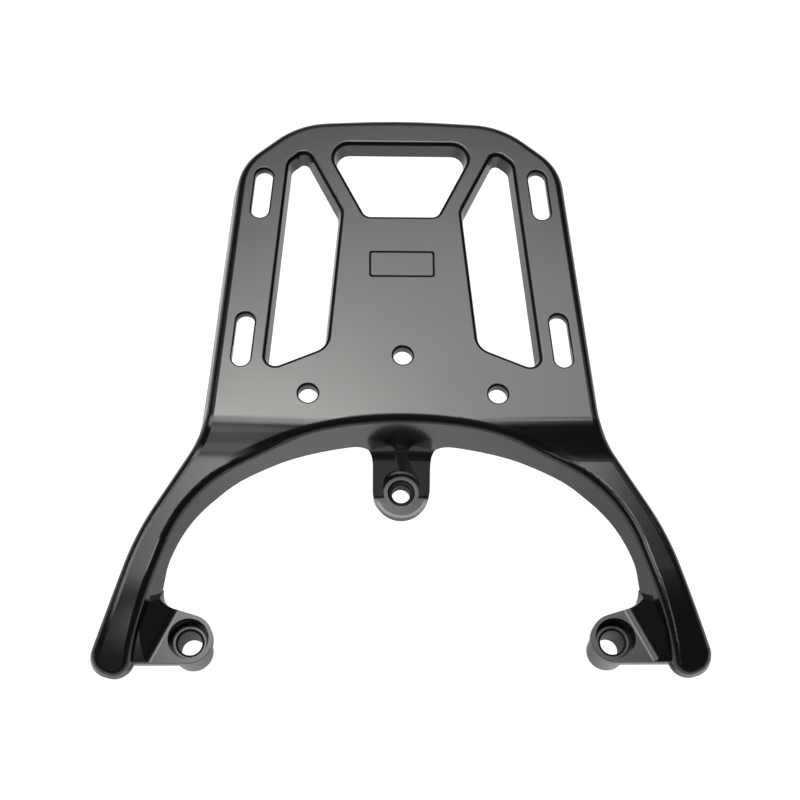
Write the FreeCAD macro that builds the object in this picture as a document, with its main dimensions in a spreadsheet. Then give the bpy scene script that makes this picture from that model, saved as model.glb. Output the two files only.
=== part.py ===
# Motorcycle luggage rack, one die casting in painted aluminium.
# Frame: X to the right, Y to the rear of the motorcycle, Z up, in millimetres.
# The origin is the centre of the lower face of the middle bolt boss.

import FreeCAD, Part
import math
import os
import re
import Sketcher

Vec = FreeCAD.Vector
doc = FreeCAD.newDocument("luggage_rack")


# Driving dimensions, one named cell each, in millimetres and degrees

SIZES = {
    # Plan of the casting at the level of the plate's top face: straight edges, given by a point and a direction
    "plate_top": 47.5,
    "rear_reach": 180.8,
    "rear_tilt": 3.0,
    "hip_x": 64.0,
    "hip_back": 14.7,
    "hip_tilt": 40.0,
    "side_x": 82.8,
    "side_y": 91.4,
    "side_angle": 5.0,
    "flank_x": 96.1,
    "flank_y": 6.4,
    "flank_angle": 31.0,
    "arm_x": 117.0,
    "arm_y": -28.6,
    "arm_angle": 17.0,
    "nose_x": 130.0,
    "nose_y": -79.3,
    # Rounding of the plan's corners, from the rear round to the nose
    "rear_bow_radius": 400.0,
    "rear_corner_radius": 41.0,
    "hip_radius": 26.0,
    "neck_radius": 50.0,
    "elbow_radius": 120.0,
    "nose_radius": 1.3,
    # Arch over the seat
    "crown_y": 22.4,
    "crown_radius": 180.0,
    "crown_sweep": 23.0,
    "haunch_run": 2.0,
    "leg_x": 123.6,
    "leg_y": -68.6,
    "leg_angle": 21.0,
    # Draft of the cast walls
    "wall_draft": 12.0,
    "window_draft": 9.0,
    # Side profile of the top face
    "fold_y": 19.9,
    "step_y": 9.4,
    "step_drop": 8.0,
    "arm_slope": 7.0,
    "bend_y": -62.6,
    "nose_slope": 34.0,
    "fold_radius": 12.0,
    "step_radius": 16.0,
    "bend_radius": 80.0,
    # Side profile of the lower rims
    "skirt_depth": 17.0,
    "heel_y": 49.4,
    "crown_depth": 21.0,
    "crown_front_y": 10.4,
    "apron_width": 45.0,
    "apron_drop": 8.0,
    "arm_depth": 26.5,
    "arm_back_y": -6.6,
    "arm_front_y": -38.6,
    "drop_y": -50.6,
    "nose_depth": 37.8,
    "nose_depth_y": -86.6,
    "rim_radius": 12.0,
    # Rounded edges
    "edge_radius": 4.0,
    "window_edge_radius": 1.6,
    "slot_edge_radius": 0.8,
    # Hollow underside
    "skin": 5.0,
    "wall": 4.5,
    "window_wall": 3.2,
    "hollow_front_y": -48.6,
    "arm_hollow_drop": 20.0,
    "rim_depth": 10.0,
    "hole_depth": 6.5,
    "rib_width": 3.0,
    "rib_depth": 7.0,
    "rib_x": 17.0,
    "rib_back": 52.9,
    "rib_draft": 2.0,
    # Side windows, drawn from lines parallel to the sides
    "window_out_x": 59.4,
    "window_in_x": 31.0,
    "window_ref_y": 101.4,
    "window_top_x": 51.2,
    "window_top_back": 21.6,
    "window_top_angle": 40.0,
    "window_strut_x": 43.3,
    "window_strut_back": 21.4,
    "strut_angle": 26.5,
    "window_low_x": 47.0,
    "window_low_y": 53.0,
    "window_low_angle": 22.9,
    "window_corner_radius": 6.0,
    "window_low_radius": 5.0,
    "window_inner_radius": 9.0,
    "window_apex_radius": 4.5,
    "window_bend_radius": 8.0,
    # Middle window
    "middle_top_back": 13.8,
    "middle_low_back": 54.4,
    "middle_low_x": 17.4,
    "middle_top_radius": 8.0,
    "middle_low_radius": 4.5,
    # Strap slots, two on each side
    "slot_width": 8.6,
    "slot_length": 27.0,
    "slot_x": 73.6,
    "slot_front_y": 61.9,
    "slot_back": 41.9,
    # Bolt holes in the plate
    "plate_hole": 9.0,
    "plate_hole_x": 43.4,
    "plate_hole_y": 35.0,
    "plate_hole_back": 19.0,
    # Engraved frame, left bare inside
    "frame_back": 79.9,
    "frame_width": 31.0,
    "frame_length": 13.8,
    "frame_line": 1.0,
    "frame_depth": 0.6,
    "frame_draft": 30.0,
    "frame_radius": 1.4,
    # Middle bolt boss on its tongue
    "tab_radius": 13.4,
    "tab_reach": 12.0,
    "tab_seat": 9.5,
    "tab_flat_y": -3.1,
    "tab_slope": 31.0,
    "tab_back_y": 22.9,
    "tab_thickness": 5.0,
    "tab_fold_radius": 6.0,
    "tab_root_radius": 12.0,
    "tab_flare": 10.0,
    "mid_bore": 8.8,
    "mid_chamfer_mouth": 12.6,
    "mid_face": 16.4,
    "mid_face_depth": 0.6,
    "mid_scoop_angle": 12.0,
    "mid_wedge_rise": 2.7,
    "mid_wedge_reach": 6.9,
    "mid_wedge_turn": 53.0,
    "mid_wedge_draft": 38.0,
    "mid_backing": 25.0,
    "mid_spigot": 15.0,
    # End lugs with their counterbored bosses
    "lug_x": 96.3,
    "lug_y": -70.2,
    "lug_radius": 11.0,
    "lug_back_angle": 17.0,
    "lug_root": 8.0,
    "lug_drop": 34.0,
    "lug_thickness": 6.0,
    "lug_cup_depth": 11.0,
    "lug_boss_height": 28.3,
    "lug_spigot": 18.2,
    "lug_counterbore": 18.4,
    "lug_counterbore_floor": 15.8,
    "lug_counterbore_depth": 9.1,
    "lug_bore": 11.0,
    "lug_chamfer_mouth": 12.6,
    "lug_flare": 7.0,
    "gusset_foot_x": 103.6,
    "gusset_foot_y": -58.1,
    "gusset_angle": 26.7,
    "gusset_slope": 44.0,
    "gusset_foot_radius": 6.0,
    "gusset_drop": 4.8,
    "gusset_flare": 7.0,
    "gusset_back_y": -48.6,
    "gusset_back_slope": 52.0,
    "lug_under_y": -48.1,
    "lug_under_slope": 55.0,
}

sheet = doc.addObject("Spreadsheet::Sheet", "sizes")
for row, (name, value) in enumerate(SIZES.items(), start=1):
    sheet.set(f"A{row}", name)
    sheet.set(f"B{row}", str(value))
    sheet.setAlias(f"B{row}", name)
doc.recompute()

ALIAS = re.compile(r"\b(" + "|".join(sorted(SIZES, key=len, reverse=True)) + r")\b")


def bound(text):
    """The expression with each size name pointing at its cell."""
    return ALIAS.sub(r"sizes.\1", text)


def number(text):
    """The present value of an expression in size names."""
    value = sheet.evalExpression(bound(text))
    return float(getattr(value, "Value", value))


def set_size(feature, prop, text):
    feature.setExpression(prop, bound(text))


# Sketch helpers


def origin_plane(body, role):
    return next(f for f in body.Origin.OriginFeatures if f.Role == role)


def new_sketch(body, name, role="XY_Plane", level="0", turn=None):
    """A sketch on an origin plane of its body, moved along the normal or turned about its own upright axis."""
    sketch = body.newObject("Sketcher::SketchObject", name)
    sketch.AttachmentSupport = [(origin_plane(body, role), "")]
    sketch.MapMode = "FlatFace"
    set_size(sketch, "AttachmentOffset.Base.z", level)
    if turn:
        offset = FreeCAD.Placement(Vec(), FreeCAD.Rotation(Vec(0, 1, 0), number(turn)))
        sketch.AttachmentOffset = offset
        set_size(sketch, "AttachmentOffset.Rotation.Angle", turn)
    return sketch


def pin(sketch, geometry, point, x, y):
    """Holds a point of the sketch at two expressions."""
    for kind, text in (("DistanceX", x), ("DistanceY", y)):
        index = sketch.addConstraint(Sketcher.Constraint(kind, geometry, point, number(text)))
        sketch.setExpression(f"Constraints[{index}]", bound(text))


def rounded_polygon(sketch, corners):
    """A closed outline of straight runs, each corner (x, y, radius) rounded by a tangent arc if it has a radius."""
    count = len(corners)
    spots = [Vec(number(x), number(y), 0) for x, y, _ in corners]
    radii = [number(r) if r else 0.0 for _, _, r in corners]
    ends = []
    for i, spot in enumerate(spots):
        back = (spots[i - 1] - spot).normalize()
        ahead = (spots[(i + 1) % count] - spot).normalize()
        half = back.getAngle(ahead) / 2
        reach = radii[i] / math.tan(half)
        middle = spot + (back + ahead).normalize() * (radii[i] / math.sin(half)) if radii[i] else spot
        ends.append((spot + back * reach, spot + ahead * reach, middle, spot))
    lines = []
    for i in range(count):
        run = Part.LineSegment(ends[i][1], ends[(i + 1) % count][0])
        lines.append(sketch.addGeometry(run))
    for i, (x, y, r) in enumerate(corners):
        before, after = lines[i - 1], lines[i]
        if not r:
            sketch.addConstraint(Sketcher.Constraint("Coincident", before, 2, after, 1))
            pin(sketch, after, 1, x, y)
            continue
        first, last, middle, spot = ends[i]
        inner = middle + (spot - middle).normalize() * radii[i]
        arc = sketch.addGeometry(Part.Arc(first, inner, last))
        turn_left = (first - middle).cross(last - middle).z > 0
        near, far = (1, 2) if turn_left else (2, 1)
        sketch.addConstraint(Sketcher.Constraint("Tangent", before, 2, arc, near))
        sketch.addConstraint(Sketcher.Constraint("Tangent", arc, far, after, 1))
        radius = sketch.addConstraint(Sketcher.Constraint("Radius", arc, radii[i]))
        sketch.setExpression(f"Constraints[{radius}]", bound(r))
        corner = sketch.addGeometry(Part.Point(spot), True)
        sketch.addConstraint(Sketcher.Constraint("PointOnObject", corner, 1, before))
        sketch.addConstraint(Sketcher.Constraint("PointOnObject", corner, 1, after))
        pin(sketch, corner, 1, x, y)


def mirrored(corners):
    """The right-hand corners, from the centre line round, followed by their left-hand twins."""
    twins = [(f"-({x})", y, r) for x, y, r in reversed(corners) if x != "0"]
    return corners + twins


def flipped(corners):
    return [(f"-({x})", y, r) for x, y, r in reversed(corners)]


def both_sides(sketch, outline):
    rounded_polygon(sketch, outline)
    rounded_polygon(sketch, flipped(outline))


def circle(sketch, x, y, diameter):
    ring = sketch.addGeometry(Part.Circle(Vec(number(x), number(y), 0), Vec(0, 0, 1), number(diameter) / 2))
    pin(sketch, ring, 3, x, y)
    index = sketch.addConstraint(Sketcher.Constraint("Diameter", ring, number(diameter)))
    sketch.setExpression(f"Constraints[{index}]", bound(diameter))


# Feature helpers


def extrude(body, kind, name, sketch, length, draft="0", upward=False, both=False):
    """A pad or a pocket from a sketch, down unless it is told to go up, or as far to both sides."""
    feature = body.newObject(f"PartDesign::{kind}", name)
    feature.Profile = sketch
    set_size(feature, "Length", length)
    feature.Refine = True
    if both:
        feature.Midplane = True
    else:
        feature.Reversed = (kind == "Pad") != upward
    if draft != "0":
        set_size(feature, "TaperAngle", draft)
    doc.recompute()
    return feature


def round_edges(body, name, radius, wanted):
    """Rounds the edges of the body's tip that a test picks."""
    tip = body.Tip
    names = [f"Edge{i}" for i, e in enumerate(tip.Shape.Edges, start=1) if wanted(e)]
    feature = body.newObject("PartDesign::Fillet", name)
    feature.Base = (tip, names)
    set_size(feature, "Radius", radius)
    doc.recompute()
    return feature


# How far tools run past the casting, so that no cut ends on a face
OVERRUN = 60.0
WIDE = "(4 * lug_x)"
THROUGH = f"(plate_top + {OVERRUN})"


# Outlines as straight edges: a point on the edge, the direction square to it, and an inset into the material


def edge_distance(edge, inset):
    x, y, across = edge
    return f"(({x}) * cos({across}) + ({y}) * sin({across}) - ({inset}))"


def shifted(edge, out):
    """An edge moved out of the material by a distance."""
    x, y, across = edge
    return f"({x} + ({out}) * cos({across}))", f"({y} + ({out}) * sin({across}))", across


def meet(first, second, radius=None, inset="0"):
    """The corner where two edges meet, both moved into the material by an inset."""
    one, two = edge_distance(first, inset), edge_distance(second, inset)
    a, b = f"({first[2]})", f"({second[2]})"
    x = f"(({one} * sin({b}) - {two} * sin({a})) / sin({b} - {a}))"
    y = f"(({two} * cos({a}) - {one} * cos({b})) / sin({b} - {a}))"
    return x, y, radius


REAR = ("0", "rear_reach", "90 - rear_tilt")
HIP = ("hip_x", "(rear_reach - hip_back)", "90 - hip_tilt")
SIDE = ("side_x", "side_y", "side_angle")
FLANK = ("flank_x", "flank_y", "flank_angle")
ARM = ("arm_x", "arm_y", "arm_angle")
NOSE = ("nose_x", "nose_y", "arm_angle - 90")
LEG = ("leg_x", "leg_y", "180 + leg_angle")
CROWN_PEAK = "(crown_y + crown_radius * (1 / cos(crown_sweep) - 1))"
HAUNCH = ("0", CROWN_PEAK, "270 - crown_sweep")


HAUNCH_RADIUS = (
    f"(({meet(LEG, HAUNCH)[0]} / cos(crown_sweep) - crown_radius * tan(crown_sweep) - haunch_run)"
    " / tan((90 - leg_angle - crown_sweep) / 2))"
)


def plan_outline():
    """Rear edge, hip, side, neck, flank, elbow, arm and nose, then back along the leg and over the seat arch."""
    return mirrored([
        ("0", "rear_reach", "rear_bow_radius"),
        meet(REAR, HIP, "rear_corner_radius"),
        meet(HIP, SIDE, "hip_radius"),
        meet(SIDE, FLANK, "neck_radius"),
        meet(FLANK, ARM, "elbow_radius"),
        meet(ARM, NOSE, "nose_radius"),
        meet(NOSE, LEG, "nose_radius"),
        meet(LEG, HAUNCH, HAUNCH_RADIUS),
        ("0", CROWN_PEAK, "crown_radius"),
    ])


def plate_hollow(inset):
    """The plate's plan moved in by a wall's thickness and closed along the line of the arch."""
    return mirrored([
        ("0", f"(rear_reach - {inset} / cos(rear_tilt))", f"(rear_bow_radius - {inset})"),
        meet(REAR, HIP, f"(rear_corner_radius - {inset})", inset),
        meet(HIP, SIDE, f"(hip_radius - {inset})", inset),
        meet(SIDE, FLANK, f"(neck_radius + {inset})", inset),
        meet(FLANK, HAUNCH, None, inset),
        ("0", f"({CROWN_PEAK} + {inset} / cos(crown_sweep))", f"(crown_radius + {inset})"),
    ])


def arm_hollow(inset):
    """The right-hand arm's plan moved in by a wall's thickness, from the plate's hollow to near the lug."""
    front = ("0", f"(hollow_front_y - {inset})", "-90")
    joint = shifted(HAUNCH, f"(-8 - {inset})")
    inner = ("(neck_radius + 16)", "0", "180")
    return [
        meet(joint, FLANK, None, inset),
        meet(FLANK, ARM, f"(elbow_radius - {inset})", inset),
        meet(ARM, front, None, inset),
        meet(front, LEG, None, inset),
        meet(LEG, HAUNCH, f"({HAUNCH_RADIUS} + {inset})", inset),
        meet(HAUNCH, inner, None, inset),
        meet(inner, joint, None, inset),
    ]


SIDE_WINDOW = {
    "outer": ("window_out_x", "window_ref_y", "side_angle"),
    "low": ("window_low_x", "window_low_y", "-90 - window_low_angle"),
    "inner": ("window_in_x", "window_ref_y", "180 + side_angle"),
    "strut": ("window_strut_x", "(rear_reach - window_strut_back)", "180 - strut_angle"),
    "top": ("window_top_x", "(rear_reach - window_top_back)", "90 - window_top_angle"),
}


def side_window(grown="0"):
    """The right-hand side window, clockwise from its rear outer corner."""
    outer, low, inner, strut, top = SIDE_WINDOW.values()
    inset = f"-({grown})"
    return [
        meet(top, outer, f"(window_corner_radius + {grown})", inset),
        meet(outer, low, f"(window_low_radius + {grown})", inset),
        meet(low, inner, f"(window_inner_radius + {grown})", inset),
        meet(inner, strut, f"(window_bend_radius - {grown})", inset),
        meet(strut, top, f"(window_apex_radius + {grown})", inset),
    ]


def middle_window(grown="0"):
    side = ("middle_low_x", "(rear_reach - middle_low_back)", "strut_angle * -1")
    back = ("0", "(rear_reach - middle_top_back)", "90")
    front = ("0", "(rear_reach - middle_low_back)", "-90")
    inset = f"-({grown})"
    return mirrored([
        meet(back, side, f"(middle_top_radius + {grown})", inset),
        meet(side, front, f"(middle_low_radius + {grown})", inset),
    ])


def draw_windows(sketch, grown="0"):
    rounded_polygon(sketch, side_window(grown))
    rounded_polygon(sketch, flipped(side_window(grown)))
    rounded_polygon(sketch, middle_window(grown))


def slot_place(side, place):
    """Centre of a strap slot: side is 1 or -1, place 1 for the rear pair and -1 for the front pair."""
    y = "(rear_reach - slot_back)" if place > 0 else "slot_front_y"
    return f"({side}) * (slot_x - ({y} - slot_front_y) * tan(side_angle))", y


SLOTS = [(side, place) for side in (1, -1) for place in (1, -1)]
PLATE_HOLES = [
    ("plate_hole_x", "plate_hole_y"),
    ("-plate_hole_x", "plate_hole_y"),
    ("0", "(plate_hole_y + plate_hole_back)"),
]


def draw_slot(sketch, side, place):
    """An obround that runs along the plate's side."""
    x, y = slot_place(side, place)
    half = "((slot_length - slot_width) / 2)"
    tilt = f"(90 + ({side}) * side_angle)"
    radius = number("slot_width") / 2
    lean = math.radians(number(tilt))
    along = Vec(math.cos(lean), math.sin(lean), 0)
    across = Vec(-along.y, along.x, 0)
    centre = Vec(number(x), number(y), 0)
    reach = along * number(half)
    far, near = centre + reach, centre - reach
    left = sketch.addGeometry(Part.LineSegment(far + across * radius, near + across * radius))
    low = sketch.addGeometry(Part.Arc(near + across * radius, near - along * radius, near - across * radius))
    right = sketch.addGeometry(Part.LineSegment(near - across * radius, far - across * radius))
    high = sketch.addGeometry(Part.Arc(far - across * radius, far + along * radius, far + across * radius))
    for first, second in ((left, low), (low, right), (right, high), (high, left)):
        sketch.addConstraint(Sketcher.Constraint("Tangent", first, 2, second, 1))
    index = sketch.addConstraint(Sketcher.Constraint("Radius", low, radius))
    sketch.setExpression(f"Constraints[{index}]", bound("slot_width / 2"))
    pin(sketch, low, 3, f"({x} - {half} * cos({tilt}))", f"({y} - {half} * sin({tilt}))")
    pin(sketch, high, 3, f"({x} + {half} * cos({tilt}))", f"({y} + {half} * sin({tilt}))")


# Side profiles, drawn as y and z


def top_profile(lowered="0"):
    """The region above the top face: plate, step down to the arms and their drooping ends."""
    step_z = "(plate_top - step_drop)"
    bend_z = f"({step_z} - (step_y - bend_y) * tan(arm_slope))"
    front = f"(bend_y - {OVERRUN})"
    return [
        (f"(rear_reach + {OVERRUN})", f"(plate_top - {lowered})", None),
        ("fold_y", f"(plate_top - {lowered})", "fold_radius"),
        ("step_y", f"({step_z} - {lowered})", "step_radius"),
        ("bend_y", f"({bend_z} - {lowered})", "bend_radius"),
        (front, f"({bend_z} - {OVERRUN} * tan(nose_slope) - {lowered})", None),
        (front, f"(plate_top + {OVERRUN})", None),
        (f"(rear_reach + {OVERRUN})", f"(plate_top + {OVERRUN})", None),
    ]


def rim_profile(dropped="0"):
    """The region below the rims: plate, crown of the arch, arms, and their drop beside the lugs to the noses."""
    slope = "((nose_depth - lug_drop) / (drop_y - nose_depth_y))"
    front = f"(nose_depth_y - {OVERRUN})"
    return [
        (f"(rear_reach + {OVERRUN})", "(plate_top - skirt_depth)", None),
        ("heel_y", "(plate_top - skirt_depth)", "rim_radius"),
        ("crown_y", f"(plate_top - crown_depth - {dropped})", "rim_radius"),
        ("crown_front_y", f"(plate_top - crown_depth - {dropped})", "rim_radius"),
        ("arm_back_y", "(plate_top - arm_depth)", "rim_radius"),
        ("arm_front_y", "(plate_top - arm_depth)", "rim_radius"),
        ("drop_y", "(plate_top - lug_drop)", "rim_radius"),
        (front, f"(plate_top - nose_depth - {OVERRUN} * {slope})", None),
        (front, f"(-2 * {OVERRUN})", None),
        (f"(rear_reach + {OVERRUN})", f"(-2 * {OVERRUN})", None),
    ]


def side_cut(body, name, outline, width=WIDE):
    """Cuts a side profile away across the whole width, or across a strip of it in the middle."""
    sketch = new_sketch(body, name, "YZ_Plane")
    rounded_polygon(sketch, outline)
    extrude(body, "Pocket", f"{name}_cut", sketch, width, both=True)


def flare_cut(body, name):
    """Cuts the tongue's sides free below the rim, with a flare where they meet it."""
    rim = "(plate_top - crown_depth)"
    side = [
        ("tab_radius", rim, "tab_flare"),
        ("(tab_radius + 2 * tab_flare)", rim, None),
        ("(tab_radius + 2 * tab_flare)", f"(-{OVERRUN})", None),
        ("tab_radius", f"(-{OVERRUN})", None),
    ]
    sketch = new_sketch(body, name, "XZ_Plane")
    both_sides(sketch, side)
    extrude(body, "Pocket", f"{name}_cut", sketch, WIDE, both=True)


# Tests that pick edges


def faces_up(face):
    u0, u1, v0, v1 = face.ParameterRange
    return face.normalAt((u0 + u1) / 2, (v0 + v1) / 2).z > 0.7


def borders_one(edge, faces):
    """Whether the edge bounds just one of the faces, so that it lies on their common rim."""
    return sum(any(edge.isSame(e) for e in face.Edges) for face in faces) == 1


def on_level(edge, level):
    """Whether a whole edge lies on a level plane."""
    box = edge.BoundBox
    return abs(box.ZMin - level) < 0.01 and abs(box.ZMax - level) < 0.01


def rim_of_hole(edge, holes, reach):
    """Whether an edge lies within a distance of one of the holes' centres."""
    spot = edge.valueAt((edge.FirstParameter + edge.LastParameter) / 2)
    return any(math.hypot(spot.x - number(x), spot.y - number(y)) < reach for x, y in holes)


# The outer shell with its windows, slots and holes


def outer_form(body):
    """The drafted prism of the plan, trimmed by the side profiles, its top rim rounded."""
    plan = new_sketch(body, "plan", level="plate_top")
    rounded_polygon(plan, plan_outline())
    extrude(body, "Pad", "blank", plan, THROUGH, draft="wall_draft")
    side_cut(body, "top_line", top_profile())
    half = "(apron_width / 2)"
    for name, level, upward in (("right_rim", half, True), ("left_rim", f"-{half}", False)):
        rim = new_sketch(body, name, "YZ_Plane", level=level)
        rounded_polygon(rim, rim_profile())
        extrude(body, "Pocket", f"{name}_cut", rim, WIDE, upward=upward)
    side_cut(body, "apron_rim", rim_profile("apron_drop"), "apron_width")
    flare_cut(body, "apron_flare")
    faces = [f for f in body.Tip.Shape.Faces if faces_up(f)]
    round_edges(body, "top_rounds", "edge_radius", lambda e: borders_one(e, faces))


def pierce_windows(body):
    """The three windows with drafted walls and rounded rims."""
    before = {e.hashCode() for e in body.Tip.Shape.Edges}
    sketch = new_sketch(body, "windows", level="plate_top")
    draw_windows(sketch)
    extrude(body, "Pocket", "window_holes", sketch, "(skirt_depth + 8)", draft="-window_draft")
    top = number("plate_top")
    round_edges(body, "window_rounds", "window_edge_radius",
                lambda e: on_level(e, top) and e.hashCode() not in before)


def pierce_plate(body):
    """Strap slots and bolt holes with eased rims."""
    sketch = new_sketch(body, "slots_and_holes", level="plate_top")
    for side, place in SLOTS:
        draw_slot(sketch, side, place)
    for x, y in PLATE_HOLES:
        circle(sketch, x, y, "plate_hole")
    extrude(body, "Pocket", "plate_cuts", sketch, "(skirt_depth + 8)")
    top = number("plate_top")
    slots = [slot_place(side, place) for side, place in SLOTS]
    slot_reach = number("slot_length") / 2 + 0.5
    hole_reach = number("plate_hole") / 2 + 0.5
    # The slots' straight rims have their middles close to the slots' centres, as no window rim has
    near_slot = number("slot_width") / 2 + 0.5
    round_edges(body, "plate_cut_rounds", "slot_edge_radius", lambda e: on_level(e, top) and (
        rim_of_hole(e, PLATE_HOLES, hole_reach) or rim_of_hole(e, slots, near_slot)
        or rim_of_hole(e, slots, slot_reach) and e.Length < 2 * number("slot_width")))


def engrave_frame(body):
    """The shallow line round the bare field on the plate."""
    sketch = new_sketch(body, "frame", level="plate_top")
    for shrink in ("0", "frame_line"):
        x = f"(frame_width / 2 - {shrink})"
        low = f"(rear_reach - frame_back - frame_length / 2 + {shrink})"
        high = f"(rear_reach - frame_back + frame_length / 2 - {shrink})"
        radius = f"(frame_radius - {shrink} / 2)"
        rounded_polygon(sketch, mirrored([(x, high, radius), (x, low, radius)]))
    extrude(body, "Pocket", "frame_groove", sketch, "frame_depth", draft="-frame_draft")


# The tongue that drops from the arch's crown to the middle bolt boss

TAB_UNDER = "(tab_seat - tab_thickness)"
TAB_RISE = "tan(tab_slope)"
TONGUE_HEIGHT = f"(plate_top - crown_depth + 8 - {TAB_UNDER})"


def tongue_height(y):
    """Level of the tongue's sloping face."""
    return f"(tab_seat + ({y} - tab_flat_y) * {TAB_RISE})"


def build_tongue(body):
    """A flared plate, cut to its slope above, below and at its sides."""
    plan = new_sketch(body, "tongue_plan", level=f"({TAB_UNDER} + {TONGUE_HEIGHT})")
    wall_y = "(crown_y - (crown_depth + apron_drop) * tan(wall_draft))"
    rounded_polygon(plan, mirrored([
        ("(tab_radius + tab_flare + 1)", "tab_back_y", None),
        ("(tab_radius + tab_flare + 1)", wall_y, None),
        ("tab_radius", wall_y, "tab_flare"),
        ("tab_radius", "-tab_reach", "(tab_radius - 0.05)"),
    ]))
    extrude(body, "Pad", "tongue_block", plan, TONGUE_HEIGHT)
    drop = "(tab_thickness / cos(tab_slope))"
    bend_y = f"(tab_flat_y + ({drop} - tab_thickness) / {TAB_RISE})"
    side_cut(body, "tongue_under", [
        (bend_y, TAB_UNDER, "tab_fold_radius"),
        (f"{OVERRUN}", f"({tongue_height(str(OVERRUN))} - {drop})", None),
        (f"{OVERRUN}", f"(-{OVERRUN})", None),
        (f"(-{OVERRUN})", f"(-{OVERRUN})", None),
        (f"(-{OVERRUN})", TAB_UNDER, None),
    ])
    backing = new_sketch(body, "backing", level=TAB_UNDER)
    circle(backing, "0", "0", "mid_backing")
    extrude(body, "Pad", "boss_backing", backing, TONGUE_HEIGHT, upward=True)
    root_y = "(crown_y - (crown_depth + apron_drop - 2) * tan(wall_draft) + 0.2)"
    side_cut(body, "tongue_top", [
        (f"(-{OVERRUN})", "tab_seat", None),
        ("tab_flat_y", "tab_seat", "tab_fold_radius"),
        (root_y, tongue_height(root_y), "tab_root_radius"),
        (f"({root_y} + {OVERRUN} * tan(wall_draft))", f"({tongue_height(root_y)} + {OVERRUN})", None),
        (f"(-{OVERRUN})", f"({tongue_height(root_y)} + {OVERRUN})", None),
    ])
    flare_cut(body, "tongue_flare")


def bore_tongue(body):
    """Spigot, screw-head scoop with its wedge up the slope, chamfer and bore of the middle boss."""
    spigot = new_sketch(body, "middle_spigot", level="tab_seat - 1")
    circle(spigot, "0", "0", "mid_spigot")
    extrude(body, "Pad", "middle_boss", spigot, "(tab_seat - 1)")
    face = "(tab_seat - mid_face_depth)"
    scoop = new_sketch(body, "scoop", level=face)
    circle(scoop, "0", "0", "mid_face")
    extrude(body, "Pocket", "screw_head_scoop", scoop, "plate_top", draft="mid_scoop_angle", upward=True)
    out = ("(mid_face / 2)", "0", "0")
    slant = shifted(("0", "0", "mid_wedge_turn"), "mid_wedge_reach")
    back = ("0", "(mid_face / 2)", "90")
    wedge = new_sketch(body, "wedge", level="(tab_seat + mid_wedge_rise)")
    rounded_polygon(wedge, mirrored([meet(back, slant), meet(slant, out), (out[0], "0", None)]))
    extrude(body, "Pocket", "driver_wedge", wedge, "(plate_top / 2)", draft="mid_wedge_draft", upward=True)
    mouth = new_sketch(body, "middle_mouth", level=face)
    circle(mouth, "0", "0", "mid_chamfer_mouth")
    extrude(body, "Pocket", "middle_chamfer", mouth, "((mid_chamfer_mouth - mid_bore) / 2)", draft="-45")
    bore = new_sketch(body, "middle_bore", level=face)
    circle(bore, "0", "0", "mid_bore")
    extrude(body, "Pocket", "middle_hole", bore, f"(tab_seat + {OVERRUN})")


# The lugs at the arms' ends

LUG_TOP = "(plate_top - lug_drop)"
LUG_FRONT = ("lug_x", "(lug_y - lug_radius)", "-90")
LUG_BACK = shifted(("lug_x", "lug_y", "(90 + lug_back_angle)"), "lug_radius")
LUG_END = shifted(("leg_x", "leg_y", "leg_angle"), "lug_root")
LUG_WALL = shifted(LEG, "(lug_drop * tan(wall_draft) - 0.2)")
LUG_CLOSE = shifted(("lug_x", "lug_y", "(90 + leg_angle)"), "(lug_radius + lug_flare + 1)")
GUSSET_CLOSE = shifted(LUG_CLOSE, "6.5")
GUSSET_FOOT = ("gusset_foot_x", "gusset_foot_y", "gusset_angle")


def lug_outline():
    """The right-hand lug: a round end whose sides run into the arm, the rear one with a flare."""
    return [
        meet(LUG_WALL, LUG_CLOSE),
        meet(LUG_CLOSE, LUG_END),
        meet(LUG_END, LUG_FRONT),
        meet(LUG_FRONT, LUG_BACK, "lug_radius"),
        meet(LUG_BACK, LUG_WALL, "lug_flare"),
    ]


def gusset_outline():
    """The right-hand gusset block that stands on the lug against the arm."""
    foot = shifted(GUSSET_FOOT, "-6.5")
    return [
        meet(LUG_WALL, GUSSET_CLOSE),
        meet(GUSSET_CLOSE, LUG_END),
        meet(LUG_END, LUG_FRONT),
        meet(LUG_FRONT, foot),
        meet(foot, LUG_BACK),
        meet(LUG_BACK, LUG_WALL, "gusset_flare"),
    ]


def both_lugs(sketch, diameter):
    circle(sketch, "lug_x", "lug_y", diameter)
    circle(sketch, "-lug_x", "lug_y", diameter)


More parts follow.
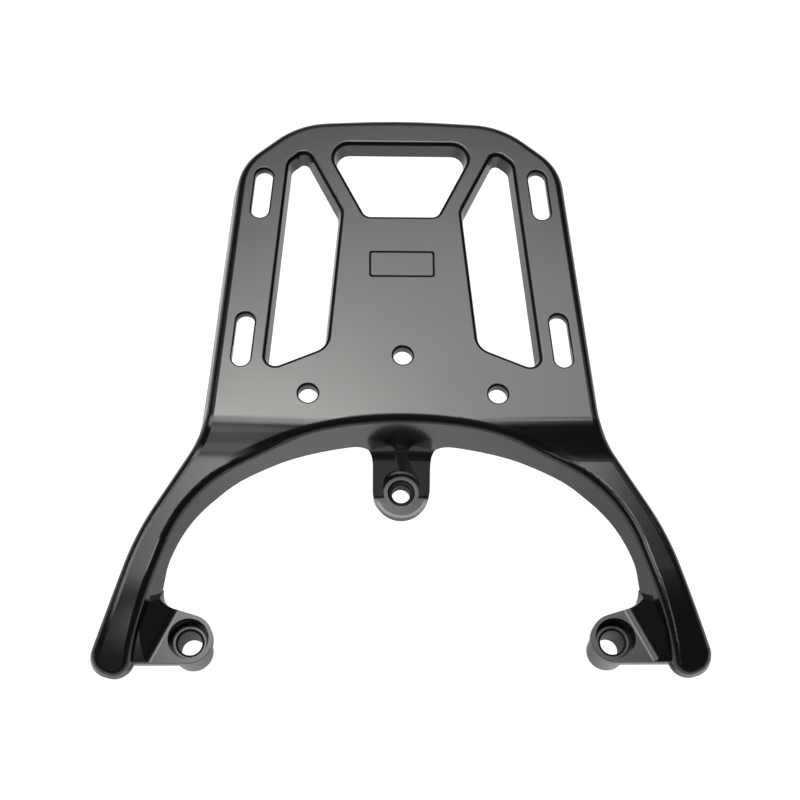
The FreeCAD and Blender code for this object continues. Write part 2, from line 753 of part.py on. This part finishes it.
def build_lugs(body):
    """Lugs, gussets that slope up to the arms, and spigots."""
    gussets = new_sketch(body, "gusset_plan", level=LUG_TOP)
    both_sides(gussets, gusset_outline())
    extrude(body, "Pad", "gussets", gussets, "(lug_drop - 12)", draft="-wall_draft", upward=True)
    side_cut(body, "gusset_crest", top_profile("gusset_drop"))
    rise = f"{OVERRUN} * tan(gusset_back_slope)"
    side_cut(body, "gusset_rear", [
        ("gusset_back_y", LUG_TOP, None),
        (f"(gusset_back_y - {OVERRUN})", f"({LUG_TOP} + {rise})", None),
        (f"(gusset_back_y + {OVERRUN})", f"({LUG_TOP} + {rise})", None),
        (f"(gusset_back_y + {OVERRUN})", LUG_TOP, None),
    ])
    foot = edge_distance(GUSSET_FOOT, "0")
    for name, turn in (("right", "gusset_angle"), ("left", "(180 - gusset_angle)")):
        slope = new_sketch(body, f"{name}_slope", "XZ_Plane", turn=turn)
        rounded_polygon(slope, [
            (f"({foot} - 14)", LUG_TOP, None),
            (foot, LUG_TOP, "gusset_foot_radius"),
            (f"({foot} + {OVERRUN})", f"({LUG_TOP} + {OVERRUN} * tan(gusset_slope))", None),
            (f"({foot} - 14)", f"({LUG_TOP} + {OVERRUN} * tan(gusset_slope))", None),
        ])
        extrude(body, "Pocket", f"{name}_slope_cut", slope, WIDE, both=True)
    plan = new_sketch(body, "lug_plan", level=LUG_TOP)
    both_sides(plan, lug_outline())
    extrude(body, "Pad", "lug_plates", plan, "lug_thickness")
    fall = f"{OVERRUN} * tan(lug_under_slope)"
    side_cut(body, "lug_under", [
        ("lug_under_y", LUG_TOP, None),
        (f"(lug_under_y - {OVERRUN})", f"({LUG_TOP} - {fall})", None),
        (f"(lug_under_y + {OVERRUN})", f"({LUG_TOP} - {fall})", None),
        (f"(lug_under_y + {OVERRUN})", LUG_TOP, None),
    ])
    cups = new_sketch(body, "lug_cups", level=f"({LUG_TOP} - 1)")
    both_lugs(cups, "(2 * lug_radius - 1)")
    extrude(body, "Pad", "lug_cup_walls", cups, "(lug_cup_depth - 1)", draft="-rib_draft")
    spigots = new_sketch(body, "lug_spigots", level=f"({LUG_TOP} - 2)")
    both_lugs(spigots, "lug_spigot")
    extrude(body, "Pad", "lug_bosses", spigots, "(lug_boss_height - 2)")


def bore_lugs(body):
    """Counterbores, chamfers and bores of the lugs."""
    recess = new_sketch(body, "counterbores", level=LUG_TOP)
    both_lugs(recess, "lug_counterbore")
    slope = "atan((lug_counterbore - lug_counterbore_floor) / 2 / lug_counterbore_depth)"
    extrude(body, "Pocket", "lug_recesses", recess, "lug_counterbore_depth", draft=f"-{slope}")
    floor = f"({LUG_TOP} - lug_counterbore_depth)"
    mouth = new_sketch(body, "lug_mouths", level=floor)
    both_lugs(mouth, "lug_chamfer_mouth")
    extrude(body, "Pocket", "lug_chamfers", mouth, "((lug_chamfer_mouth - lug_bore) / 2)", draft="-45")
    bores = new_sketch(body, "lug_bores", level=floor)
    both_lugs(bores, "lug_bore")
    extrude(body, "Pocket", "lug_holes", bores, "lug_boss_height")


# The hollow underside, which leaves the skin, the rims, the lands round the openings and two ribs


def build_hollow(body):
    inset = "(wall / cos(wall_draft))"
    plate = new_sketch(body, "plate_hollow_plan", level="plate_top")
    rounded_polygon(plate, plate_hollow(inset))
    extrude(body, "Pad", "plate_hollow", plate, THROUGH, draft="wall_draft")
    arms = new_sketch(body, "arm_hollow_plan", level="(plate_top - arm_hollow_drop)")
    both_sides(arms, arm_hollow(f"({inset} - arm_hollow_drop * tan(wall_draft))"))
    extrude(body, "Pad", "arm_hollows", arms, THROUGH, draft="wall_draft")
    side_cut(body, "hollow_top", top_profile("skin"))
    lands = new_sketch(body, "window_lands", level="plate_top")
    draw_windows(lands, "window_wall")
    extrude(body, "Pocket", "window_land_cut", lands, "rim_depth", draft="-window_draft")
    bosses = new_sketch(body, "hole_lands", level="plate_top")
    for x, y in PLATE_HOLES:
        circle(bosses, x, y, "(plate_hole + 2 * window_wall)")
    extrude(body, "Pocket", "hole_land_cut", bosses, "hole_depth", draft="-rib_draft")
    ribs = new_sketch(body, "ribs", level="plate_top")
    rib = [
        ("(rib_x + rib_width / 2)", "(rear_reach - rib_back)", None),
        ("(rib_x + rib_width / 2)", "0", None),
        ("(rib_x - rib_width / 2)", "0", None),
        ("(rib_x - rib_width / 2)", "(rear_reach - rib_back)", None),
    ]
    both_sides(ribs, rib)
    extrude(body, "Pocket", "rib_cut", ribs, "(skin + rib_depth)", draft="-rib_draft")


shell = doc.addObject("PartDesign::Body", "shell")
outer_form(shell)
pierce_windows(shell)
pierce_plate(shell)
engrave_frame(shell)

tongue = doc.addObject("PartDesign::Body", "tongue")
build_tongue(tongue)
bore_tongue(tongue)

lugs = doc.addObject("PartDesign::Body", "lugs")
build_lugs(lugs)
bore_lugs(lugs)

hollow = doc.addObject("PartDesign::Body", "hollow")
build_hollow(hollow)

joined = doc.addObject("Part::MultiFuse", "joined")
joined.Shapes = [shell, tongue, lugs]
joined.Refine = True
casting = doc.addObject("Part::Cut", "casting")
casting.Base = joined
casting.Tool = hollow
casting.Refine = True
casting.Label = "rack_casting"
doc.recompute()

for item in doc.Objects:
    if "Invalid" in item.State or "Error" in item.State:
        raise RuntimeError(f"{item.Name} did not build: {item.State}")
if casting.Shape.isNull() or not casting.Shape.isValid() or len(casting.Shape.Solids) != 1:
    raise RuntimeError("the casting is not one valid solid")
print("volume in cubic millimetres:", round(casting.Shape.Volume))

os.makedirs("parts", exist_ok=True)
casting.Shape.exportStep("parts/rack_casting.step")
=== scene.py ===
# %% [markdown]
# # Black motorcycle luggage rack, photographed from above
#
# The rack is one aluminium casting: a carrier plate, two arms round the tail of the seat and three bolt
# bosses. Its form comes from the CAD model, so this lesson adds no geometry to it. It gives the casting its
# paint, its turned bolt seats, a studio and a camera. Lengths are in metres, and +Z is up, as in the model.

# %% Open the CAD model
import math

import bmesh
import bpy
from mathutils import Matrix, Vector

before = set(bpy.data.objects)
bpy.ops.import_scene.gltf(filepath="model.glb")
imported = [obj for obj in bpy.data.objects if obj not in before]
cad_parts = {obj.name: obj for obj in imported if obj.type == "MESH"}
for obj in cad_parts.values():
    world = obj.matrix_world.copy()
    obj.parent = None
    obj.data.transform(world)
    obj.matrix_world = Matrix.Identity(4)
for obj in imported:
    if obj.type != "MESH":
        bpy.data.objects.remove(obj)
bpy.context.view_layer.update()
scene = bpy.context.scene
scene.view_settings.view_transform = "Standard"
print("nodes:", list(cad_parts))

# %% [markdown]
# ## Camera
#
# The photograph looks down at the rack from the seat's side, 22 degrees off the vertical. A camera can be
# placed by eye or aimed with a constraint. Here two angles, a roll and a distance place it, because such
# values can be fitted to the picture: the bolt holes, the windows and the rear edge then fall where they
# do there.

# %% Camera
TARGET = Vector((0, 0.0317, 0.0475))
VIEW_TILT = 22.0
VIEW_TURN = -5.335
VIEW_ROLL = 5.183
VIEW_DISTANCE = 0.66818
SIDE_STEP = 0.00155
LENS_MM = 66.15

tilt = math.radians(VIEW_TILT)
turn = math.radians(VIEW_TURN)
roll = math.radians(VIEW_ROLL)
away = Vector((math.sin(tilt) * math.sin(turn), -math.sin(tilt) * math.cos(turn), math.cos(tilt)))
level = Vector((math.cos(turn), math.sin(turn), 0))
raised = away.cross(level)
right = math.cos(roll) * level + math.sin(roll) * raised
up = -math.sin(roll) * level + math.cos(roll) * raised

camera_data = bpy.data.cameras.new("camera")
camera_data.lens = LENS_MM
camera_data.sensor_width = 36.0
camera_data.clip_start = 0.01
camera = bpy.data.objects.new("camera", camera_data)
scene.collection.objects.link(camera)
stand = TARGET + VIEW_DISTANCE * away - SIDE_STEP * right
camera.matrix_world = Matrix.Translation(stand) @ Matrix((right, up, away)).transposed().to_4x4()
scene.camera = camera
print("camera at", [round(value, 3) for value in stand])

# %% [markdown]
# ## Colours and nodes
#
# Paint and studio are both drawn with shader nodes. They could be wired socket by socket, which takes many
# lines. One short function that adds a node with its settings and links keeps each step on a line of its own.

# %% Colours and nodes
def srgb(code):
    """A colour written as six hex digits, in linear light."""
    parts = [int(code[place:place + 2], 16) / 255 for place in (0, 2, 4)]
    linear = [part / 12.92 if part <= 0.04045 else ((part + 0.055) / 1.055) ** 2.4 for part in parts]
    return (*linear, 1.0)


def new_material(name):
    """A material, its nodes and its shader."""
    material = bpy.data.materials.new(name)
    material.use_nodes = True
    tree = material.node_tree
    return material, tree, tree.nodes["Principled BSDF"]


def feed(tree, node, inputs):
    """Gives a node's inputs, listed in order or by name, their values or what feeds them."""
    pairs = inputs.items() if isinstance(inputs, dict) else enumerate(inputs)
    for name, value in pairs:
        source = value.outputs[0] if isinstance(value, bpy.types.Node) else value
        if isinstance(source, bpy.types.NodeSocket):
            tree.links.new(source, node.inputs[name])
        else:
            node.inputs[name].default_value = source


def add_node(tree, kind, inputs=(), **settings):
    """A node with its settings and links."""
    node = tree.nodes.new("ShaderNode" + kind)
    for name, value in settings.items():
        setattr(node, name, value)
    feed(tree, node, inputs)
    return node


def combine(tree, operation, values):
    """One operation carried through several values."""
    total = values[0]
    for value in values[1:]:
        total = add_node(tree, "Math", [total, value], operation=operation)
    return total


def squared_length(tree, across, along):
    """The square of the distance that two steps at right angles make."""
    along_squared = add_node(tree, "Math", [along, along], operation="MULTIPLY")
    return add_node(tree, "Math", [across, across, along_squared], operation="MULTIPLY_ADD")


print("colours are read from hex codes, such as 808080 for", [round(part, 3) for part in srgb("808080")])

# %% [markdown]
# ## Masks on the casting
#
# Some places look unlike the rest of the paint: turned seats, bores, sharp rims. They could be painted on a
# texture or picked face by face. Here formulas in the casting's own coordinates mark them, because each is a
# circle, a height or a straight band, and a formula stays sharp at any distance. A mask is 1 inside its
# limits and 0 outside, and its limits are in millimetres.

# %% Masks on the casting
MM = 0.001
SOFT_EDGE = 0.1
MIDDLE_BOLT = (0.0, 0.0)
LUG_BOLT = (96.3, -70.2)

paint, tree, shader = new_material("satin_black_enamel")
place = add_node(tree, "TexCoord").outputs["Object"]
x, y, z = add_node(tree, "SeparateXYZ", [place]).outputs
from_middle = add_node(tree, "Math", [x], operation="ABSOLUTE")


def below(value, limit, soft=SOFT_EDGE):
    """1 below a limit and 0 above it, with a soft end."""
    return add_node(tree, "MapRange", [value, (limit + soft) * MM, (limit - soft) * MM, 0.0, 1.0])


def band(value, low, high, soft=SOFT_EDGE):
    """1 between two limits and 0 outside them, with soft ends."""
    above = add_node(tree, "MapRange", [value, (low - soft) * MM, (low + soft) * MM, 0.0, 1.0])
    return add_node(tree, "Math", [above, below(value, high, soft)], operation="MULTIPLY")


def from_axis(middle):
    """Distance from an upright axis, the same for its twin on the other side."""
    over = add_node(tree, "Math", [from_middle, middle[0] * MM], operation="SUBTRACT")
    back = add_node(tree, "Math", [y, middle[1] * MM], operation="SUBTRACT")
    return add_node(tree, "Math", [squared_length(tree, over, back)], operation="SQRT")


def all_of(*masks):
    """1 where every mask is 1."""
    return combine(tree, "MULTIPLY", masks)


def any_of(*masks):
    """1 where some mask is 1."""
    return combine(tree, "MAXIMUM", masks)


middle_radius = from_axis(MIDDLE_BOLT)
lug_radius = from_axis(LUG_BOLT)
bolt_radius = add_node(tree, "Math", [middle_radius, lug_radius], operation="MINIMUM")
print("masks are measured from the bolts at", MIDDLE_BOLT, "and", LUG_BOLT, "mm")

# %% [markdown]
# ## Turned seats and bores
#
# After casting, the seat on the tongue and the bores were turned, so that the bolts sit square. These faces
# could be pieces of their own with a second material. They belong to the casting, so one material covers
# everything and a mask tells it where to change.

# %% Turned seats and bores
TAB_FRONT = (-20, -3.2)
SEAT_FLAT = 11.2
SEAT_RING = 8.3
SEAT_HEIGHTS = (4.7, 9.6)
MIDDLE_BORE = 4.7
LUG_BORE = 6.4

tab_front = band(y, *TAB_FRONT)
seat_flat = all_of(below(middle_radius, SEAT_FLAT), tab_front)
seat_ring = below(middle_radius, SEAT_RING)
middle_seat = all_of(any_of(seat_flat, seat_ring), band(z, *SEAT_HEIGHTS))
lug_bore = below(lug_radius, LUG_BORE)
turned = any_of(below(middle_radius, MIDDLE_BORE), lug_bore, middle_seat)
print("turned to a radius of", SEAT_FLAT, "mm on the tongue and", LUG_BORE, "mm in the lugs")

# %% [markdown]
# ## Painted shade in the hollows of the bosses
#
# Dark rings lie at the foot of each chamfer, at the edge of each bore and down the counterbores, where the
# bosses' hollows fall into shade. Fine grooves in the mesh could cast them as real shadows. Here rings of
# painted shade, darker and with less sheen, stand in for them without a change to the casting.

# %% Painted shade in the hollows of the bosses
MIDDLE_CHAMFER = (5.8, 6.4)
MIDDLE_BORE_EDGE = (4.3, 4.7)
LUG_BORE_EDGE = (6.2, 6.6)
COUNTERBORE_FOOT = (7.4, 7.9)
COUNTERBORE_WALL = (7.9, 9.4)
BOSS_HEIGHTS = (4.6, 13.1)
BOSS_CORE = 7.9

middle_lines = [band(middle_radius, *limits) for limits in (MIDDLE_CHAMFER, MIDDLE_BORE_EDGE)]
lug_lines = [band(lug_radius, *limits) for limits in (LUG_BORE_EDGE, COUNTERBORE_FOOT, COUNTERBORE_WALL)]
inside_bosses = any_of(band(z, *BOSS_HEIGHTS), below(bolt_radius, BOSS_CORE))
# Painted shade: rings drawn darker and less glossy where the hollows lie in shade.
painted_shade_rings = all_of(any_of(*middle_lines, *lug_lines), inside_bosses)
print("dark rings:", len(middle_lines), "on the tongue,", len(lug_lines), "on each lug")

# %% [markdown]
# ## Painted shade on the rims
#
# Rounded rims and the engraved line catch little light and show as thin dark outlines of shade. The rims
# could get faces and a material of their own. Here a mask paints that shade instead, making the enamel
# rougher
# and taking its sheen away: just under the plate's top but not on it, round the lugs, along the arch over the
# seat and round the tongue.

# %% Painted shade on the rims
ENGRAVED_FRAME = ((-15.7, 15.7), (93.8, 108.2), (45, 47.3))
PLATE_SIDE = ((60, 78.2), (150, 71.8))
PLATE_CORNER = ((150, 80), (170, 45))
PLATE_LENGTH = (28, 170)
WINDOW_RIM_HEIGHTS = (45.5, 47.36)
LUG_FACE = (9.6, 30)
LUG_RIM_HEIGHTS = (12.2, 13.37)
CROWN_AXIS = (0.0, -157.6)
CROWN_EDGE = (179.9, 182.7)
CROWN_SOFT_EDGE = 0.4
CROWN_FADE = (66, 82)
CROWN_HEIGHTS = (30, 48)
TAB_EDGE = (10.5, 13.5)
TAB_RIM_HEIGHTS = (4.3, 5.4)


def sloping(start, end):
    """A sideways limit that runs from one place to the next, each given as rearward and sideways."""
    return add_node(tree, "MapRange", [y, start[0] * MM, end[0] * MM, start[1] * MM, end[1] * MM])


engraved_line = all_of(*[band(axis, *limits) for axis, limits in zip((x, y, z), ENGRAVED_FRAME)])
plate_limit = add_node(tree, "Math", [sloping(*PLATE_SIDE), sloping(*PLATE_CORNER)], operation="MINIMUM")
within_sides = add_node(tree, "Math", [from_middle, plate_limit], operation="LESS_THAN")
on_plate = all_of(within_sides, band(y, *PLATE_LENGTH))
window_rims = all_of(on_plate, band(z, *WINDOW_RIM_HEIGHTS))
lug_rims = all_of(band(lug_radius, *LUG_FACE), band(z, *LUG_RIM_HEIGHTS))
crown_line = band(from_axis(CROWN_AXIS), *CROWN_EDGE, CROWN_SOFT_EDGE)
crown_end = add_node(tree, "MapRange", [from_middle, CROWN_FADE[0] * MM, CROWN_FADE[1] * MM, 1.0, 0.0])
crown_rim = all_of(crown_line, crown_end, band(z, *CROWN_HEIGHTS))
tab_rim = all_of(band(middle_radius, *TAB_EDGE), tab_front, band(z, *TAB_RIM_HEIGHTS))
shaded_rim_places = [engraved_line, window_rims, lug_rims, crown_rim, tab_rim]
# Painted shade: these rims and the engraved line lose their sheen, so they read as dark outlines.
matt_rim_shade = any_of(*shaded_rim_places)
print("kinds of matt place:", len(shaded_rim_places))

# %% [markdown]
# ## Satin black enamel over cast aluminium
#
# The rack is sprayed with satin black enamel. A clear coat over a dark base gives the eye its two
# reflections, a soft sheen and a sharper gleam. The fine ripple of spraying could be displaced in the mesh,
# which needs far smaller faces, so a faint bump draws it. The turned faces took only a thin coat: they are
# greyer and rougher and keep their tool marks. In the lug bores that grey is held back and the sheen taken
# away, as painted shade in the deep holes, and the rings and rims above get the same painted shade.

# %% Satin black enamel: how rough it is
RIPPLE_WIDTH = 2.222
CLOUD_WIDTH = 33.33
CLOUD_CONTRAST = (0.3, 0.7)
ENAMEL_ROUGHNESS = (0.16, 0.2)
TURNED_ROUGHER = 0.12
MATT_ROUGHER = 0.4

ripple = add_node(tree, "TexNoise", {"Vector": place, "Scale": 1 / (RIPPLE_WIDTH * MM), "Detail": 3.0})
cloud = add_node(tree, "TexNoise", {"Vector": place, "Scale": 1 / (CLOUD_WIDTH * MM), "Detail": 4.0})
gloss = add_node(tree, "MapRange", [cloud, *CLOUD_CONTRAST, *ENAMEL_ROUGHNESS])
roughness = add_node(tree, "Math", [turned, TURNED_ROUGHER, gloss], operation="MULTIPLY_ADD")
roughness = add_node(tree, "Math", [matt_rim_shade, MATT_ROUGHER, roughness], operation="MULTIPLY_ADD")
print("ripples in mm:", RIPPLE_WIDTH, "and cloudiness in mm:", CLOUD_WIDTH)

# %% Satin black enamel: colour and sheen
ENAMEL = "0b0c0c"
THIN_ENAMEL = "3a3a37"
# Painted shade in the lug bores darkens their grey and takes away sheen.
LUG_BORE_SHADE_TINT = 0.6
LUG_BORE_SHADE_DULLING = 0.75
CLEAR_COAT = 0.6
COAT_LOST_IN_TURNING = 0.3
COAT_LOST_IN_SHADE = 0.6
SHEEN = 0.5
SHEEN_LOST_IN_SHADE = 0.35

# The grey of the turned faces, less painted shade in the lug bores and the rings.
thin_coat_and_shade = add_node(tree, "Math", [lug_bore, -LUG_BORE_SHADE_TINT, turned], operation="MULTIPLY_ADD")
thin_coat_and_shade = add_node(tree, "Math", [thin_coat_and_shade, painted_shade_rings], operation="SUBTRACT")
tints = {"Factor": thin_coat_and_shade, "A": srgb(ENAMEL), "B": srgb(THIN_ENAMEL)}
tint = add_node(tree, "Mix", tints, data_type="RGBA").outputs["Result"]

bore_shade = add_node(tree, "Math", [lug_bore, LUG_BORE_SHADE_DULLING], operation="MULTIPLY")
# Painted shade: the rims, the rings and the lug bores lose coat and sheen, so they read dark.
all_painted_shade = any_of(matt_rim_shade, painted_shade_rings, bore_shade)
coat = add_node(tree, "Math", [turned, -COAT_LOST_IN_TURNING, CLEAR_COAT], operation="MULTIPLY_ADD")
coat = add_node(tree, "Math", [all_painted_shade, -COAT_LOST_IN_SHADE, coat], operation="MULTIPLY_ADD")
sheen = add_node(tree, "Math", [all_painted_shade, -SHEEN_LOST_IN_SHADE, SHEEN], operation="MULTIPLY_ADD")
print("enamel", ENAMEL, "and where it is thin", THIN_ENAMEL)

# %% Satin black enamel: ripple and tool marks
RIPPLE_HEIGHT = 0.2
RIPPLE_STRENGTH = 0.05
TOOL_MARK_STEP = 0.9
TOOL_MARK_DEPTH = 0.06
TOOL_MARK_STRENGTH = 0.6
COAT_ROUGHNESS = 0.08

# Real tool marks are finer. These are as coarse as they need to be to show.
angle_per_metre = 2 * math.pi / (TOOL_MARK_STEP * MM)
climb = add_node(tree, "Math", [bolt_radius, z], operation="ADD")
angle = add_node(tree, "Math", [climb, angle_per_metre], operation="MULTIPLY")
wave = add_node(tree, "Math", [angle], operation="SINE")
tool_lines = add_node(tree, "Math", [wave, turned], operation="MULTIPLY")
orange_peel = {"Height": ripple, "Strength": RIPPLE_STRENGTH, "Distance": RIPPLE_HEIGHT * MM}
tool_marks = {
    "Height": tool_lines,
    "Strength": TOOL_MARK_STRENGTH,
    "Distance": TOOL_MARK_DEPTH * MM,
    "Normal": add_node(tree, "Bump", orange_peel),
}
surface = {
    "Base Color": tint,
    "Roughness": roughness,
    "Normal": add_node(tree, "Bump", tool_marks),
    "Coat Weight": coat,
    "Coat Roughness": COAT_ROUGHNESS,
    "Specular IOR Level": sheen,
}
feed(tree, shader, surface)

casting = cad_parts["rack_casting"]
for slot in casting.material_slots:
    slot.material = paint
print("slots painted:", len(casting.material_slots))

# %% [markdown]
# ## Studio
#
# Gloss paint shows its studio. Lamps could stand round the rack, but each would light the whole of it. Here
# the world draws the studio by direction, so that every gleam lies where the photograph has it: a large soft
# window over the left shoulder with a bright corner, a strip over the seat, shelves at the sides and dark
# walls. A patch's middle and spread are sideways and rearward tangents of half the angle from straight up.

# %% Studio: patches of light
# Each patch has a middle, a spread, a strength and how sharply it ends.
PATCHES = {
    "window, rear half": ((0.022, 0.192), (0.108, 0.08), 3.5, 2),
    "window, bright corner": ((-0.05, 0.175), (0.03, 0.02), 5.0, 1),
    "window, left half": ((-0.24, -0.01), (0.115, 0.16), 2.15, 2),
    "window, middle bar": ((-0.008, 0.02), (0.046, 0.14), 4.2, 2),
    "window, right corner": ((0.07, 0.053), (0.017, 0.03), 3.6, 2),
    "strip over the seat": ((-0.049, -0.36), (0.028, 0.19), 1.9, 3),
    "gleam beside the strip": ((0.022, -0.38), (0.02, 0.045), 0.6, 2),
    "right shelf": ((0.3, 0.2), (0.103, 0.034), 1.0, 2),
    "left corner": ((-0.349, 0.163), (0.045, 0.053), 2.0, 2),
    "left shelf": ((-0.305, 0.093), (0.233, 0.083), 0.8, 1),
    "rear wall": ((0.0, 0.45), (0.12, 0.14), 0.5, 1),
}


def glow(tree, across, along, middle, spread, level, edge=1):
    """A patch of light that fades from its middle over its spread. A higher edge ends it more sharply."""
    over = add_node(tree, "Math", [across, middle[0]], operation="SUBTRACT")
    over = add_node(tree, "Math", [over, spread[0]], operation="DIVIDE")
    back = add_node(tree, "Math", [along, middle[1]], operation="SUBTRACT")
    back = add_node(tree, "Math", [back, spread[1]], operation="DIVIDE")
    steep = add_node(tree, "Math", [squared_length(tree, over, back), float(edge)], operation="POWER")
    steep = add_node(tree, "Math", [steep, -0.5], operation="MULTIPLY")
    fall = add_node(tree, "Math", [steep], operation="EXPONENT")
    return add_node(tree, "Math", [fall, level], operation="MULTIPLY")


def ray_kinds(tree):
    """1 for rays straight from the camera, and 1 for rays that gloss paint mirrors."""
    rays = add_node(tree, "LightPath").outputs
    mirrored = combine(tree, "MAXIMUM", [rays["Is Glossy Ray"], rays["Is Transmission Ray"]])
    return rays["Is Camera Ray"], mirrored


print("patches of light:", len(PATCHES))

# %% Studio: walls and sky
WALL_LIGHT = (0.12, 0.05)
WALL_TOP = 0.6
SWEEP_TOP = 0.035
LEAST_DIVISOR = 0.2
STUDIO_LIGHT = "fbfff9"
WHITE = "ffffff"

world = bpy.data.worlds.new("studio")
scene.world = world
world.use_nodes = True
tree = world.node_tree
way = add_node(tree, "TexCoord").outputs["Generated"]
to_right, to_rear, rise = add_node(tree, "SeparateXYZ", [way]).outputs
divisor = add_node(tree, "Math", [rise, 1.0], operation="ADD")
divisor = add_node(tree, "Math", [divisor, LEAST_DIVISOR], operation="MAXIMUM")
sideways = add_node(tree, "Math", [to_right, divisor], operation="DIVIDE")
rearward = add_node(tree, "Math", [to_rear, divisor], operation="DIVIDE")

walls = add_node(tree, "MapRange", [rise, 0.0, WALL_TOP, *WALL_LIGHT])
patches = [glow(tree, sideways, rearward, *patch) for patch in PATCHES.values()]
studio_light = combine(tree, "ADD", [walls, *patches])

camera_ray, mirrored = ray_kinds(tree)
sweep = add_node(tree, "MapRange", [rise, 0.0, SWEEP_TOP, 1.0, 0.0], interpolation_type="SMOOTHSTEP")
white_sweep = add_node(tree, "Math", [sweep, mirrored], operation="MULTIPLY")
strength = combine(tree, "MAXIMUM", [studio_light, camera_ray, white_sweep])
hues = {"Factor": camera_ray, "A": srgb(STUDIO_LIGHT), "B": srgb(WHITE)}
hue = add_node(tree, "Mix", hues, data_type="RGBA").outputs["Result"]
feed(tree, tree.nodes["Background"], {"Color": hue, "Strength": strength})
print("walls from", WALL_LIGHT[0], "at the floor to", WALL_LIGHT[1], "at the top")

# %% [markdown]
# ## Floor
#
# The rack is shown cut out on white. The floor could be left away, but then nothing would shade or mirror
# below it. A white card well below the rack keeps only a faint shadow. In the paint's reflections the card
# glows with painted light: a painted shade darkens it right below the rack, and a painted highlight is
# brightest ahead on the right.

# %% Floor: a white card
FLOOR_DROP = 0.45
FLOOR_REACH = 8.0

card = bmesh.new()
bmesh.ops.create_grid(card, x_segments=1, y_segments=1, size=FLOOR_REACH)
bmesh.ops.translate(card, vec=(0, 0, -FLOOR_DROP), verts=card.verts)
floor_mesh = bpy.data.meshes.new("floor")
card.to_mesh(floor_mesh)
card.free()
floor = bpy.data.objects.new("floor", floor_mesh)
scene.collection.objects.link(floor)
print("floor", FLOOR_DROP, "m below the middle bolt")

# %% Floor: matt white card
CARD = "c0c0c0"
CARD_ROUGHNESS = 0.9
CAMERA_GLOW = 0.8
FAR_GLOW = 0.3
GLOW_PER_METRE = 0.6
AHEAD_PAINTED_HIGHLIGHT = ((0.15, -0.5), (0.25, 0.2), 0.5)

card_material, tree, shader = new_material("matt_white_card")
camera_ray, mirrored = ray_kinds(tree)
place = add_node(tree, "TexCoord").outputs["Object"]
x, y, z = add_node(tree, "SeparateXYZ", [place]).outputs
reach = add_node(tree, "Math", [squared_length(tree, x, y)], operation="SQRT")
# Painted reflection on the card: less glow for mirrored rays near the rack, as painted shade, and a painted
# highlight ahead on the right.
far = add_node(tree, "Math", [reach, GLOW_PER_METRE], operation="MULTIPLY")
far = add_node(tree, "Math", [far, FAR_GLOW], operation="MINIMUM")
painted_floor_reflection = combine(tree, "ADD", [glow(tree, x, y, *AHEAD_PAINTED_HIGHLIGHT), far])
mirrored_painted_reflection = add_node(tree, "Math", [mirrored, painted_floor_reflection], operation="MULTIPLY")
bright = add_node(tree, "Math", [camera_ray, CAMERA_GLOW, mirrored_painted_reflection], operation="MULTIPLY_ADD")
card_surface = {
    "Base Color": srgb(CARD),
    "Roughness": CARD_ROUGHNESS,
    "Specular IOR Level": 0.0,
    "Emission Color": srgb(WHITE),
    "Emission Strength": bright,
}
feed(tree, shader, card_surface)
floor.data.materials.append(card_material)
print("card glow:", CAMERA_GLOW, "seen straight and up to", FAR_GLOW + AHEAD_PAINTED_HIGHLIGHT[2], "mirrored")

# %% [markdown]
#
# Paint changes no size.

print("paint changes no size")
